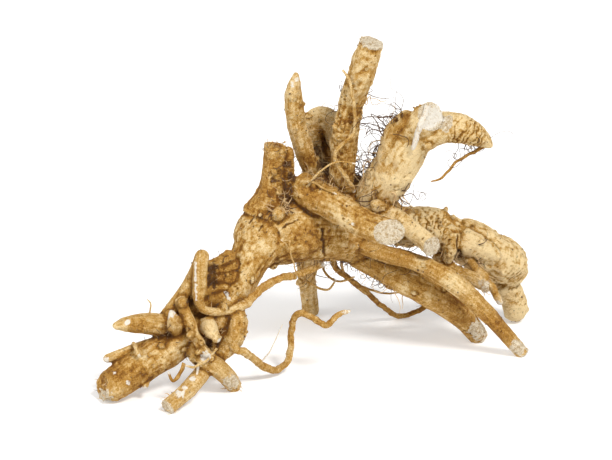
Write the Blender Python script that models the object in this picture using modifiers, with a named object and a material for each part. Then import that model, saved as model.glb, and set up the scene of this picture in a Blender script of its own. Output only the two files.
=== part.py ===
"""A horseradish root: one dug-up clump, grown as a single piece.

A stout stock lies on its left foot, rises, and arches over to the right into a crown.
Thick side roots, most of them cut with a knife, leave the stock and the crown in all
directions, and a few wiry ones loop between them.

The clump stands on the plane Z = 0. X runs to the right along its length, Y runs to the
back and Z is up. The origin is on that plane, under the middle of the clump.
"""

import bmesh
import bpy
from mathutils import Vector

MM = 0.001

# Driving dimensions, in millimetres unless a name says otherwise.
MIDDLE = (1.5, -0.5)  # X and Y, in the frame of ROOTS, of the point under the middle of the clump
SAMPLE_STEP = 3.0  # spacing of the points along a root's centreline
BARK_VOXEL = 1.5  # grid on which the roots are fused into one body
BARK_SMOOTHING_STEPS = 4
BARK_TRIANGLES = 9000
BLUNT_TIP_SHARE = 0.45  # how long a rounded tip is, as a share of the root's end radius
SLAB_SIZE = 500.0  # the slab that levels the feet
SLAB_THICKNESS = 40.0

BARK_COLOUR = (0.56, 0.36, 0.15, 1.0)
BARK_ROUGHNESS = 0.75

# How a root ends: rounded off, cut square to its own axis, or cut along a plane that faces
# the direction given.
ROUND = "round"
SQUARE = "square"

# Every root runs from where it leaves its parent to its end. Its points are
# (x, y, z, radius) in millimetres, and a smooth line is drawn through them.
# They are measured from a point on the table that MIDDLE brings back to the origin.
ROOTS = {
    "stock": ([
        (-90, -52, 42, 13), (-74, -43, 53, 14), (-60, -32, 68, 13.8), (-50, -20, 84, 14.5),
        (-43, -12, 95, 19), (-38, -3, 100, 24), (-22, 6, 103, 26.5), (-6, 14, 99, 24),
        (15, 22, 92, 21.5), (34, 28, 84, 18),
    ], ROUND),
    "crown": ([(-5, 22, 118, 18), (18, 26, 118, 20), (42, 28, 108, 20), (60, 32, 96, 15)], ROUND),
    "left_foot": ([
        (-75, -42, 53, 13.6), (-90, -52, 43.5, 13.4), (-124, -67, 26, 13.4),
        (-148, -79, 13.4, 12.6), (-156, -83, 11, 12.4),
    ], (-0.9, -0.4, 0.16)),
    "stub": ([
        (-34, 2, 116, 20), (-31, 5, 136, 10.5), (-30, 6, 154, 8.8), (-29, 7, 168, 8.6),
    ], (0.2, 0, 1)),
    "stub_side": ([
        (-23, 4, 118, 10), (-21, 7, 140, 6.8), (-20, 8, 156, 5.4), (-19.5, 8, 164, 3.8),
    ], ROUND),
    "left_finger": ([
        (1, 30, 134, 8.6), (-7, 28, 155, 7.8), (-13, 26, 176, 7.2), (-15.5, 24, 197, 7),
        (-15, 22, 211, 5.4), (-14, 22, 219, 2.6),
    ], ROUND),
    "tall_finger": ([
        (20, 23, 118, 10), (21, 20, 154, 10), (26, 18, 191, 9.6), (34.5, 16, 223, 9.8),
        (42, 14, 248, 9.6),
    ], SQUARE),
    "hook": ([
        (4, 40, 124, 10), (-3, 46, 150, 9), (-3, 48, 166, 9), (4, 48, 175, 9.3),
        (13, 46, 170, 8.8), (16, 44, 156, 7),
    ], ROUND),
    "hook_wall": ([(6, 46, 128, 10), (7, 55, 146, 8.5), (8, 55, 163, 7)], ROUND),
    "beak": ([
        (38, 20, 119, 13), (52, 14, 136, 16.5), (64, 11, 156, 15.8), (73, 9, 172, 15),
        (86, 8, 180, 13.6), (98, 9, 182, 12), (108, 10, 180.5, 11), (118, 11, 176, 9.4),
        (126, 12, 170.5, 6.4), (130, 12, 167, 3.4),
    ], ROUND),
    "shoulder": ([(57, 12, 164, 10), (61, 12, 176, 11), (71, 8, 186, 11)], ROUND),
    "sliced_shoulder": ([
        (71, 8, 177, 12), (79, 2, 188, 11.5), (86, -3, 196, 10.5),
    ], (0.5, -0.7, 0.5)),
    "front_arm": ([
        (-12, 10, 135, 11.5), (-2, 0, 132, 12.5), (14, -10, 127, 11.5), (33, -22, 119.5, 10.8),
        (48, -32, 117, 10), (56, -38, 117, 9.5),
    ], (0.3, -0.93, 0.1)),
    "second_arm": ([
        (46, 8, 117, 8), (61, 3, 112, 7.4), (76, -5, 103, 7.2), (88, -12, 94.5, 7.2),
    ], (0.6, -0.75, -0.15)),
    "long_arm": ([
        (34, 14, 86, 6.5), (53, 2, 83.4, 6.5), (71, -4, 81, 6.6), (89, -7, 74, 7.2),
        (106, -6, 62, 7.9), (124, -2, 42.5, 7), (140, 1, 23, 6), (157.5, 4.8, 0.8, 5.2),
    ], SQUARE),
    "low_arm": ([
        (30, 24, 74, 8.5), (58, 16, 62, 10.5), (79, 14, 51.5, 11.2), (98, 18, 37.5, 10.8),
        (112, 25, 23, 9.4), (121, 31, 9, 7.8), (125, 34, 2, 7.2),
    ], SQUARE),
    "big_right": ([
        (52, 32, 97, 13), (72, 35, 93, 14.5), (88, 38, 90, 16.8), (98, 41, 84.5, 16),
        (106, 44, 79.5, 14.6), (114, 47, 75, 17.2), (128, 52, 66.5, 18.8), (145, 59, 53, 17.6),
        (151, 63, 44, 12),
    ], ROUND),
    "right_curl": ([(111, 43, 86, 5), (115, 43, 92, 4), (119, 43, 92.5, 3)], ROUND),
    "right_heel": ([(144, 65, 36, 10.5), (150, 69, 22, 10), (154, 70.5, 7.5, 9.6)], ROUND),
    "split_end": ([
        (92, 36, 70, 6), (104, 25, 61, 5.3), (118, 20, 56.8, 5.3), (131, 14, 51, 4.6),
    ], (0.7, -0.6, -0.1)),
    "thin_split": ([
        (114, 38, 68, 4), (120, 27, 63, 3.6), (128, 20, 57, 3.4), (134, 14, 50, 3.2),
        (139.5, 12, 40, 2.8),
    ], ROUND),
    "upper_toe": ([
        (-108, -56, 50, 9), (-125, -64, 55, 8.2), (-139, -70, 57, 5.8), (-147, -74, 57.5, 2.8),
    ], ROUND),
    "lower_toe": ([(-118, -58, 36, 6), (-139, -67, 33, 4.6), (-154, -73, 30.5, 3.2)], ROUND),
    "front_leg": ([
        (-78, -54, 36, 6.5), (-82, -70, 21, 6.5), (-92, -86, 13.3, 6.3), (-101, -96, 8, 6.3),
        (-109, -103, 4, 5.8),
    ], SQUARE),
    "side_leg": ([
        (-90, -62, 36, 8), (-84, -70, 30, 7.6), (-73, -70, 23, 7.4), (-64, -64, 11, 6.8),
        (-59, -59, 1.5, 5.6),
    ], SQUARE),
    "knee": ([
        (-68, -40, 62, 6), (-57, -49, 54, 7.2), (-58, -54, 43.5, 7.2), (-64.5, -58, 33.7, 6.8),
        (-72, -60, 27, 6),
    ], ROUND),
    "loop": ([
        (-110, -55, 53, 7.6), (-98, -50, 69, 7), (-89.5, -48, 83, 6.4), (-84.5, -48, 97, 5.8),
        (-83, -52, 104, 5.4), (-84.5, -56, 95, 5.6), (-85, -58, 82, 5.4), (-86, -60, 73, 4.6),
        (-83, -61, 66, 3.5), (-75, -58, 62, 3.2), (-63, -52, 60.5, 3.2), (-51, -47, 63.5, 3.6),
        (-44, -42, 69.5, 3.3), (-36, -34, 73, 3.2), (-26, -24, 74.5, 3), (-9, -7, 72, 3),
        (6, 6, 71, 3),
    ], ROUND),
    "web_top": ([(-85, -45, 95, 3.6), (-75, -40, 93.5, 3.4), (-63, -33, 97, 5)], ROUND),
    "web_upper": ([(-85, -45, 88, 3.8), (-75, -39, 88, 3.8), (-62, -32, 89, 6)], ROUND),
    "web_middle": ([(-86, -47, 80, 4), (-76, -41, 81, 4.4), (-63, -33, 80, 8)], ROUND),
    "web_low": ([(-87, -50, 72, 4.6), (-77, -43, 73, 5.5), (-64, -35, 71, 9)], ROUND),
    "backing": ([(-100, -50, 55, 8), (-84, -46, 62, 8.5), (-70, -41, 66, 9)], ROUND),
    "backing_low": ([(-86, -58, 40, 7), (-72, -52, 39.5, 6.8), (-62, -52, 43, 6)], ROUND),
    "crossing": ([
        (-99, -57, 71, 5), (-96, -67, 67, 4.6), (-92, -70, 59, 4.5), (-89.5, -72, 51, 4.3),
        (-85, -74, 43.5, 4.3), (-80.5, -75, 37, 4), (-77.5, -76, 34, 3.2),
    ], ROUND),
    "button": ([
        (-103, -60, 47, 5.4), (-103, -71, 57, 6), (-104, -75, 63.5, 4.6), (-105.5, -75, 69, 2.2),
    ], ROUND),
    "spur": ([(-80, -57, 52, 7), (-77, -66, 50, 6), (-72, -72, 46, 3.6)], ROUND),
    "wiggle": ([
        (-66, -56, 40, 4), (-58, -64, 35, 3.2), (-49, -58, 27.2, 3), (-38, -46, 12.7, 2.9),
        (-29, -36, 5, 2.7), (-21, -30, 9.6, 2.6), (-18, -26, 19, 2.6), (-17.5, -24, 30, 2.6),
        (-16, -24, 41, 2.5), (-9, -26, 47, 2.5), (-1, -30, 44.4, 2.5), (7.5, -34, 41, 2.5),
        (14, -36, 46.8, 2.4), (20, -36, 51.7, 2.2), (26, -36, 53, 1.8),
    ], ROUND),
    "sling": ([
        (12, 24, 78, 3), (16, 30, 61, 2.6), (26, 36, 50, 2.5), (43, 52, 28, 2.3), (60, 70, 6, 2.2),
        (68, 76, 2.2, 2.2), (77, 76, 5, 2.2), (87, 74, 12.5, 2.2), (98, 66, 27, 2.4),
        (110, 56, 50, 2.8),
    ], ROUND),
    "low_wire": ([
        (42, 26, 64, 3), (52, 30, 49.6, 2.7), (79, 40, 30, 2.6), (94, 50, 15.6, 2.4),
    ], ROUND),
    "flap": ([
        (83, -3, 203, 2.4), (80, -9, 196, 2.3), (75.5, -9.5, 184, 2.1), (72.5, -8.5, 172, 1.9),
    ], ROUND),
    "back_leg": ([(-4, 28, 84, 10), (-6, 48, 56, 7.4), (-5, 68, 29, 7), (-3, 87, 1, 6.6)], SQUARE),
    "back_left": ([
        (-18, 20, 96, 12), (-30, 52, 80, 9), (-42, 82, 62, 8), (-48, 100, 52, 7),
    ], SQUARE),
    "back_right": ([
        (48, 36, 92, 12), (60, 66, 76, 10), (70, 92, 62, 9), (74, 101, 57, 8.5),
    ], SQUARE),
}


def clear_scene():
    for obj in list(bpy.data.objects):
        bpy.data.objects.remove(obj)


def new_collection(name):
    made = bpy.data.collections.new(name)
    bpy.context.scene.collection.children.link(made)
    return made


def smooth_line(points):
    """Points about SAMPLE_STEP apart on a Catmull-Rom curve through the given ones, radius included."""
    knots = [Vector(p) for p in points]
    knots = [2 * knots[0] - knots[1], *knots, 2 * knots[-1] - knots[-2]]
    line = []
    for a, b, c, d in zip(knots, knots[1:], knots[2:], knots[3:]):
        steps = max(2, round((c - b).length / SAMPLE_STEP))
        for i in range(steps):
            t = i / steps
            bend = 2 * a - 5 * b + 4 * c - d
            twist = 3 * b - a - 3 * c + d
            line.append(0.5 * (2 * b + (c - a) * t + bend * t**2 + twist * t**3))
    return [*line, knots[-2]]


def rounded(line):
    """The line with a blunt tip: its radius falls off as an ellipse does over the last stretch."""
    end = line[-1]
    direction = (end.xyz - line[-2].xyz).normalized()
    for share in (0.5, 0.8, 0.97):
        along = direction * end.w * BLUNT_TIP_SHARE * 2 * share
        line.append(Vector((*(end.xyz + along), end.w * (1 - share**2) ** 0.5)))
    return line


def lengthened(line):
    """The line carried on past its end, so that a slanted cut has all of the root to cut through."""
    end = line[-1]
    direction = (end.xyz - line[-2].xyz).normalized()
    return [*line, Vector((*(end.xyz + direction * 2 * end.w), end.w))]


def root_mesh(name, points, ending):
    """One root as a closed mesh: a bevelled curve with a radius at each point."""
    line = smooth_line(points)
    if ending == ROUND:
        line = rounded(line)
    elif ending != SQUARE:
        cut_at = line[-1].xyz.copy()
        line = lengthened(line)
    data = bpy.data.curves.new(name, "CURVE")
    data.dimensions = "3D"
    data.bevel_depth = MM
    data.bevel_resolution = 4
    data.use_fill_caps = True
    spline = data.splines.new("POLY")
    spline.points.add(len(line) - 1)
    for point, sample in zip(spline.points, line):
        point.co = (*(sample.xyz * MM), 1)
        point.radius = sample.w
    curve = bpy.data.objects.new(name, data)
    bpy.context.scene.collection.objects.link(curve)
    bpy.context.view_layer.update()
    mesh = bpy.data.meshes.new_from_object(curve.evaluated_get(bpy.context.evaluated_depsgraph_get()))
    bpy.data.objects.remove(curve)
    made = bmesh.new()
    made.from_mesh(mesh)
    bmesh.ops.remove_doubles(made, verts=made.verts, dist=0.01 * MM)
    if ending not in (ROUND, SQUARE):
        everything = [*made.verts, *made.edges, *made.faces]
        bmesh.ops.bisect_plane(made, geom=everything, plane_co=cut_at * MM, plane_no=ending, clear_outer=True)
        bmesh.ops.holes_fill(made, edges=[e for e in made.edges if e.is_boundary])
    bmesh.ops.recalc_face_normals(made, faces=made.faces)
    made.to_mesh(mesh)
    made.free()
    return mesh


def bark_material():
    made = bpy.data.materials.new("bark")
    made.use_nodes = True
    shader = made.node_tree.nodes["Principled BSDF"]
    shader.inputs["Base Color"].default_value = BARK_COLOUR
    shader.inputs["Roughness"].default_value = BARK_ROUGHNESS
    shader.inputs["Metallic"].default_value = 0.0
    return made


def make_slab(collection):
    """The table top as a solid, cut away from the clump so that its feet stand flat on Z = 0."""
    bpy.ops.mesh.primitive_cube_add(size=1)
    slab = bpy.context.object
    slab.name = "table_cutter"
    slab.scale = (SLAB_SIZE * MM, SLAB_SIZE * MM, SLAB_THICKNESS * MM)
    slab.location = (0, 0, -0.5 * SLAB_THICKNESS * MM)
    slab.hide_render = True
    slab.display_type = "WIRE"
    for owner in list(slab.users_collection):
        owner.objects.unlink(slab)
    collection.objects.link(slab)
    return slab


def make_clump(collection, slab):
    """Every root in one mesh, fused on a fine grid, thinned to a workable number of faces and levelled."""
    joined = bmesh.new()
    for name, (points, ending) in ROOTS.items():
        mesh = root_mesh(name, points, ending)
        joined.from_mesh(mesh)
        bpy.data.meshes.remove(mesh)
    bmesh.ops.translate(joined, verts=joined.verts, vec=(-MIDDLE[0] * MM, -MIDDLE[1] * MM, 0))
    data = bpy.data.meshes.new("horseradish_root")
    joined.to_mesh(data)
    joined.free()
    clump = bpy.data.objects.new("horseradish_root", data)
    collection.objects.link(clump)

    fuse = clump.modifiers.new("fuse", "REMESH")
    fuse.mode = "VOXEL"
    fuse.voxel_size = BARK_VOXEL * MM
    soften = clump.modifiers.new("soften", "SMOOTH")
    soften.factor = 0.5
    soften.iterations = BARK_SMOOTHING_STEPS
    fused_faces = faces_after_modifiers(clump)
    thin = clump.modifiers.new("thin", "DECIMATE")
    thin.ratio = BARK_TRIANGLES / fused_faces
    level = clump.modifiers.new("level", "BOOLEAN")
    level.operation = "DIFFERENCE"
    level.object = slab
    data.materials.append(bark_material())
    return clump


def faces_after_modifiers(obj):
    """How many triangles the object has with the modifiers it has so far."""
    bpy.context.view_layer.update()
    evaluated = obj.evaluated_get(bpy.context.evaluated_depsgraph_get())
    mesh = evaluated.to_mesh()
    mesh.calc_loop_triangles()
    count = len(mesh.loop_triangles)
    evaluated.to_mesh_clear()
    return count


def main():
    clear_scene()
    slab = make_slab(new_collection("cutters"))
    make_clump(new_collection("horseradish_root"), slab)


main()
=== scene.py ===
"""The looks of the horseradish root.

One bark piece, fused from tapered roots and carved with folds, rings, warts and scars, stands for
the CAD solid. Wiry rootlets, root hairs and crumbs of soil ride on it. All lengths in the tables
are millimetres, measured from the same point on the table as in the part's own source.
"""

import math

import bmesh
import bpy
import numpy as np
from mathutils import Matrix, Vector
from numpy.linalg import norm

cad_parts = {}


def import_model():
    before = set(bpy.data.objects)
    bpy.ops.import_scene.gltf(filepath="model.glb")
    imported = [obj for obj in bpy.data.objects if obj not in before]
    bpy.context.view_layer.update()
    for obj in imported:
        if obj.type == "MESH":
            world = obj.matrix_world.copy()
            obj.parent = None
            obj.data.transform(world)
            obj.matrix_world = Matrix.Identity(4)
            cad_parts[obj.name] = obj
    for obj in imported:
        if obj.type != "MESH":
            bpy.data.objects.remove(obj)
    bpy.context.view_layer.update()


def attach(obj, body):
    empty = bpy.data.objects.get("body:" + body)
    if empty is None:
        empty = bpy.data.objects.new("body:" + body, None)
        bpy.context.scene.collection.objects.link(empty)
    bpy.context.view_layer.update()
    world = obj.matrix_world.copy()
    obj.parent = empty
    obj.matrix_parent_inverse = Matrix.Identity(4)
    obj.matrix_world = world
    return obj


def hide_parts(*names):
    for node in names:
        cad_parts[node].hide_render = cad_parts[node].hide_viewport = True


MM = 0.001
MIDDLE = np.array([1.5, -0.5, 0.0])  # the point of the tables that lies over the origin
SEED = 7

# The camera looks from the front and a little from above, through a long lens.
CAMERA_DISTANCE = 4.0
CAMERA_ELEVATION = 22.0  # degrees
CAMERA_LENS = 314.7
CAMERA_TARGET = (-0.008, 0.0105, 0.0996)

# Each soft lamp: direction from the object to it, strength, width in degrees.
LAMPS = {"key": ((0.35, -0.5, 0.8), 2.82, 14), "fill": ((-0.65, -0.45, 0.55), 1.2, 26)}
LAMP_COLOUR = (1.0, 0.98, 0.95)
SKY_STRENGTH = 0.58
FLOOR_RADIUS, FLOOR_GREY, FLOOR_GLOW = 14, 0.75, 0.29  # the radius in metres

# The bark is a voxel skin over the thick roots.
VOXEL = 1.08
FACE_WIDTH = 1.5  # of the faces round a thick root, before it is fused
SOFTEN_STEPS, CREASE_STEPS = 2, 5  # of smoothing, everywhere and in the creases
CREASE_WIDTH = 1.6  # how far a crease between two roots reaches up their sides
LOOK_STEPS = 3  # how softly one root's look turns into the next one's
HOLLOW_STEPS, DEEP_STEPS = 5, 20  # how wide the fine and the broad hollows are
ROOT_APART = 37  # keeps the noise on one root from going on to the next
CHUNK = 4000  # points compared with the skeleton at once
FAR = 1e3  # further than any root is

# Spacing of the points along a centreline: of a thick root, a wiry root and a hair.
LINE_STEP = 2.0
WIRY_STEP = 0.8
HAIR_STEP = 1.2

GROWTH_STEP = 1.3  # a hair turns once in this length
LONG_HAIR, LONGEST_HAIR = 14, 30  # long ones leave a root's sides, the longest are thicker
HAIR_FLOOR, LOWEST = 0.65, 0.02  # the lowest that a hair's middle and any other point may lie
CRUMB_COUNT, CRUMB_SIZE = 1600, (0.3, 0.75)

# Patches and slits are laid out as the viewer sees them, and reach this deep into the object.
TOWARDS_VIEWER = np.array([0.0, -0.927, 0.375])
PATCH_DEPTH, SLIT_DEPTH = 12, 14

# What the bark shader is told about every point, beside its place along the root.
FACTS = ("cut", "crease", "hollow", "tone", "bare", "white", "dirt_and_shade")

# (x, y, z, radius) from where each root leaves its parent to its end, round unless it is in CUTS.
THICK_ROOTS = {
    "stock": [
        (-90, -52, 42, 13), (-74, -43, 53, 14), (-60, -32, 68, 13.8), (-50, -20, 84, 14.5),
        (-43, -12, 95, 19), (-38, -3, 100, 24), (-22, 6, 103, 26.5), (-6, 14, 99, 24),
        (15, 22, 92, 21.5), (34, 28, 84, 18),
    ],
    "crown": [(-5, 22, 118, 18), (18, 26, 118, 20), (42, 28, 108, 20), (60, 32, 96, 15)],
    "left_foot": [
        (-75, -42, 53, 13.6), (-90, -52, 43.5, 13.4), (-124, -67, 26, 13.4),
        (-148, -79, 13.4, 12.6), (-153.5, -81.8, 11.6, 11.6), (-157, -83.6, 10.6, 9),
    ],
    "stub": [(-34, 2, 116, 20), (-31, 5, 136, 10.5), (-30, 6, 154, 8.8), (-29, 7, 168, 8.6)],
    "stub_side": [(-23, 4, 118, 10), (-21, 7, 140, 6.8), (-20, 8, 156, 5.4), (-19.5, 8, 164, 3.8)],
    "left_finger": [
        (1, 30, 134, 8.6), (-7, 28, 155, 7.8), (-13, 26, 176, 7.2), (-15.5, 24, 197, 7),
        (-15, 22, 211, 5.4), (-14, 22, 219, 2.6),
    ],
    "tall_finger": [
        (20, 23, 118, 10), (21, 20, 154, 10), (26, 18, 191, 9.6), (34.5, 16, 223, 9.8),
        (42, 14, 248, 9.6),
    ],
    "hook": [
        (4, 40, 124, 10), (-3, 46, 150, 9), (-3, 48, 166, 9), (4, 48, 175, 9.3), (13, 46, 170, 8.8),
        (16, 44, 156, 7),
    ],
    "hook_wall": [(6, 46, 128, 10), (7, 55, 146, 8.5), (8, 55, 163, 7)],
    "beak": [
        (38, 20, 119, 13), (52, 14, 136, 16.5), (64, 11, 156, 15.8), (73, 9, 172, 15),
        (86, 8, 180, 13.6), (98, 9, 182, 12), (108, 10, 180.5, 11), (118, 11, 176, 9.4),
        (126, 12, 170.5, 6.4), (130, 12, 167, 3.4),
    ],
    "shoulder": [(55, 12, 150, 12), (60, 12, 165, 12), (62.5, 12, 176, 11), (71, 8, 186, 11)],
    "sliced_shoulder": [(71, 8, 177, 12), (79, 2, 188, 11.5), (86, -3, 196, 10.5)],
    "front_arm": [
        (-12, 10, 135, 11.5), (-2, 0, 132, 12.5), (14, -10, 127, 11.5), (33, -22, 119.5, 10.8),
        (48, -32, 117, 10), (56, -38, 117, 9.5),
    ],
    "second_arm": [(46, 8, 117, 8), (61, 3, 112, 7.4), (76, -5, 103, 7.2), (88, -12, 94.5, 7.2)],
    "long_arm": [
        (34, 14, 86, 6.5), (53, 2, 83.4, 6.5), (71, -4, 81, 6.6), (89, -7, 74, 7.2),
        (106, -6, 62, 7.9), (124, -2, 42.5, 7), (140, 1, 23, 6), (157.5, 4.8, 0.8, 5.2),
    ],
    "low_arm": [
        (30, 24, 74, 8.5), (58, 16, 62, 10.5), (79, 14, 51.5, 11.2), (98, 18, 37.5, 10.8),
        (112, 25, 23, 9.4), (121, 31, 9, 7.8), (125, 34, 2, 7.2),
    ],
    "big_right": [
        (52, 32, 97, 13), (72, 35, 93, 14.5), (88, 38, 90, 16.8), (98, 41, 84.5, 16),
        (106, 44, 79.5, 14.6), (114, 47, 75, 17.2), (128, 52, 66.5, 18.8), (145, 59, 53, 17.6),
        (151, 63, 44, 12),
    ],
    "right_curl": [(111, 43, 86, 5), (115, 43, 92, 4), (119, 43, 92.5, 3)],
    "right_heel": [(144, 65, 36, 10.5), (150, 69, 22, 10), (154, 70.5, 7.5, 9.6)],
    "split_end": [(92, 36, 70, 6), (104, 25, 61, 5.3), (118, 20, 56.8, 5.3), (131, 14, 51, 4.6)],
    "upper_toe": [
        (-108, -56, 50, 9), (-125, -64, 55, 8.2), (-139, -70, 57, 5.8), (-147, -74, 57.5, 2.8),
    ],
    "lower_toe": [(-118, -58, 36, 6), (-139, -67, 33, 4.6), (-154, -73, 30.5, 3.2)],
    "front_leg": [
        (-78, -54, 36, 6.5), (-82, -70, 21, 6.5), (-92, -86, 13.3, 6.3), (-101, -96, 8, 6.3),
        (-109, -103, 4, 5.8),
    ],
    "side_leg": [
        (-90, -62, 36, 8), (-84, -70, 30, 7.6), (-73, -70, 23, 7.4), (-64, -64, 11, 6.8),
        (-59, -59, 1.5, 5.6),
    ],
    "knee": [
        (-68, -40, 62, 6), (-57, -49, 54, 7.2), (-58, -54, 43.5, 7.2), (-64.5, -58, 33.7, 6.8),
        (-72, -60, 27, 6),
    ],
    "loop": [
        (-110, -55, 53, 7.6), (-98, -50, 69, 7), (-89.5, -48, 83, 6.4), (-84.5, -48, 97, 5.8),
        (-83, -52, 104, 5.4), (-84.5, -56, 95, 5.6), (-85, -58, 82, 5.4), (-86, -60, 73, 4.6),
        (-83, -61, 66, 3.5), (-75, -58, 62, 3.2), (-63, -52, 60.5, 3.2), (-51, -47, 63.5, 3.6),
    ],
    "web_top": [(-85, -45, 94, 4.2), (-75, -40, 92.5, 4), (-63, -33, 96, 6)],
    "web_upper": [(-85, -45, 88, 5), (-75, -39.5, 87.5, 4.9), (-62, -32, 89, 7)],
    "web_middle": [(-86, -46.5, 81, 5.4), (-76, -40.5, 81.5, 5.2), (-63, -33, 80, 9)],
    "web_low": [(-87, -49, 73.5, 5.6), (-77, -42.5, 74.5, 5.8), (-64, -35, 72, 9)],
    "web_wall": [(-75, -35, 87, 7), (-75.5, -35.5, 81, 8.5), (-76, -36.5, 75, 8.5)],
    "stock_fill": [(-34, -8, 95, 15), (-24, -6, 97.5, 16.5), (-13, -2, 98, 17)],
    "backing": [(-100, -50, 55, 8), (-84, -46, 62, 8.5), (-70, -41, 66, 9)],
    "backing_low": [(-86, -58, 40, 7), (-72, -52, 39.5, 6.8), (-62, -52, 43, 6)],
    "crossing": [
        (-99, -57, 71, 5), (-96, -67, 67, 4.6), (-92, -70, 59, 4.5), (-89.5, -72, 51, 4.3),
        (-85, -74, 43.5, 4.3), (-80.5, -75, 37, 4), (-77.5, -76, 34, 3.2),
    ],
    "button": [
        (-103, -60, 47, 5.4), (-103, -71, 57, 6), (-104, -75, 63.5, 4.6), (-105.5, -75, 69, 2.2),
    ],
    "spur": [(-80, -57, 52, 7), (-77, -66, 50, 6), (-72, -72, 46, 3.6)],
    "back_leg": [(-4, 28, 84, 10), (-6, 48, 56, 7.4), (-5, 68, 29, 7), (-3, 87, 1, 6.6)],
    "back_left": [(-18, 20, 96, 12), (-30, 52, 80, 9), (-42, 82, 62, 8), (-48, 100, 52, 7)],
    "back_right": [(48, 36, 92, 12), (60, 66, 76, 10), (70, 92, 62, 9), (74, 101, 57, 8.5)],
    "pored_knob": [(-59, -28, 75, 6), (-59.5, -37, 73.5, 5)],
    "arch_knob": [(-31, -5, 86, 6), (-31, -14, 80.5, 4)],
    "ring_knob": [(-27, -9, 122, 7), (-27, -17, 122.5, 5.2)],
    "foot_bud": [(-123, -70, 19, 4), (-125, -81, 11.5, 2.2)],
    "red_knob": [(-88, -64, 34, 6), (-89, -73.5, 31, 4.4)],
    "crossing_knob": [(-97, -58, 69, 5.4), (-97.5, -67, 72.5, 4.2)],
    "arm_knob": [(50, 6, 121, 6.5), (44, -6, 126, 4)],
    "finger_knob": [(24, 18, 176, 8), (14.5, 15, 181, 2.6)],
    "ring_bud": [(80, 4, 176, 7), (84, -6, 172, 3)],
    "right_bump": [(109, 40, 80, 10), (116, 35, 79, 10.5), (124, 36, 74, 10), (131, 40, 68, 9)],
    "right_fold": [(101, 30, 88, 9), (102, 25, 78, 6), (100, 24, 70, 4)],
}

# The roots that end in a cut: square to the root, or facing the direction given.
SQUARE = "square"
CUTS = {
    "left_foot": (-0.9, -0.4, 0.16), "stub": (0.2, 0, 1), "tall_finger": SQUARE,
    "sliced_shoulder": (0.5, -0.7, 0.5), "front_arm": (0.3, -0.93, 0.1),
    "second_arm": (0.6, -0.75, -0.15), "long_arm": SQUARE, "low_arm": SQUARE,
    "split_end": (0.7, -0.6, -0.1), "front_leg": SQUARE, "side_leg": SQUARE, "back_leg": SQUARE,
    "back_left": SQUARE, "back_right": SQUARE,
}

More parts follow.
